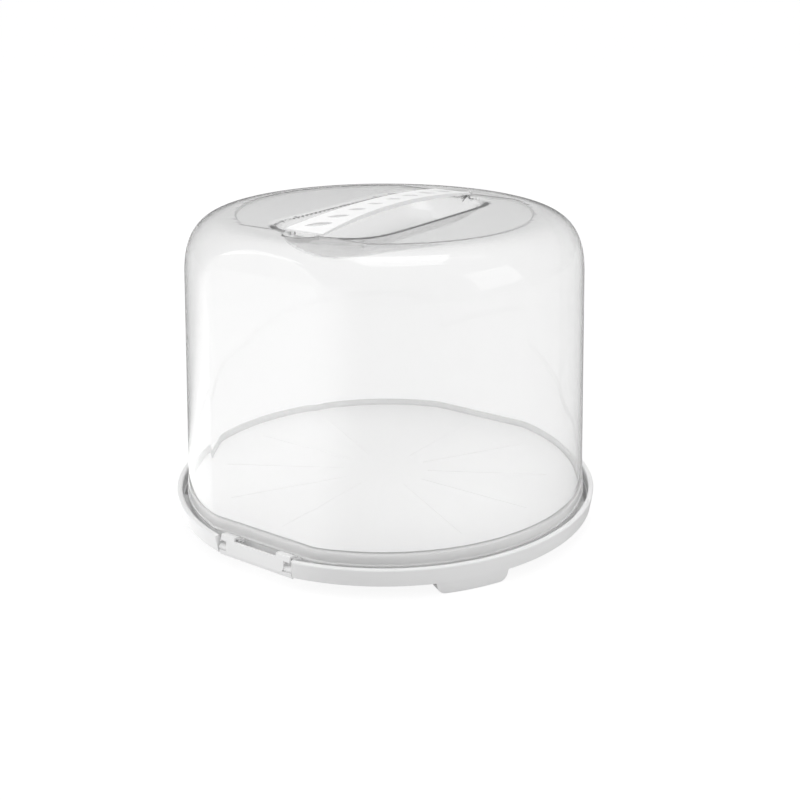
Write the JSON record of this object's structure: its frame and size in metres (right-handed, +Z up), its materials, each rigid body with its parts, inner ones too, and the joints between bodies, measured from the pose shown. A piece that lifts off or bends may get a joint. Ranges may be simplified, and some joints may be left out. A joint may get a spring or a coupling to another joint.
{
  "type": "cake carrier",
  "caption": "Round cake carrier: a footed tray with a raised deck, a clear domed hood that swings up on a rear clip, a front locking clip and an arched strap handle.",
  "frame": {"origin": "centre of the overall box on the table face under the feet", "axes": "+Z up; Y runs along the handle, from the front clip at -Y to the rear clip at +Y; X runs along the hood's two flats"},
  "size_m": [0.355, 0.3468, 0.26],
  "materials": {
    "tray": "satin white moulded plastic",
    "hood": "clear polished plastic",
    "handle": "satin white moulded plastic",
    "clip": "smooth white moulded plastic"
  },
  "bodies": {
    "tray": {"base_tray": "tray"},
    "hood": {"hood_shell": "hood", "strap_handle": "handle"},
    "front_clip": {"front_clip": "clip"},
    "rear_clip": {"rear_clip": "clip"}
  },
  "joints": [
    {"name": "hood_swing", "type": "hinge", "parent": "tray", "child": "hood", "pos_m": [0, 0.16629, 0.0217], "axis": [-1, 0, 0], "range_deg": [0, 95]},
    {"name": "front_clip_swing", "type": "hinge", "parent": "tray", "child": "front_clip", "pos_m": [0, -0.16919, 0.0146], "axis": [1, 0, 0], "range_deg": [0, 100]},
    {"name": "rear_clip_swing", "type": "hinge", "parent": "tray", "child": "rear_clip", "pos_m": [0, 0.16919, 0.0146], "axis": [-1, 0, 0], "range_deg": [0, 100]}
  ]
}
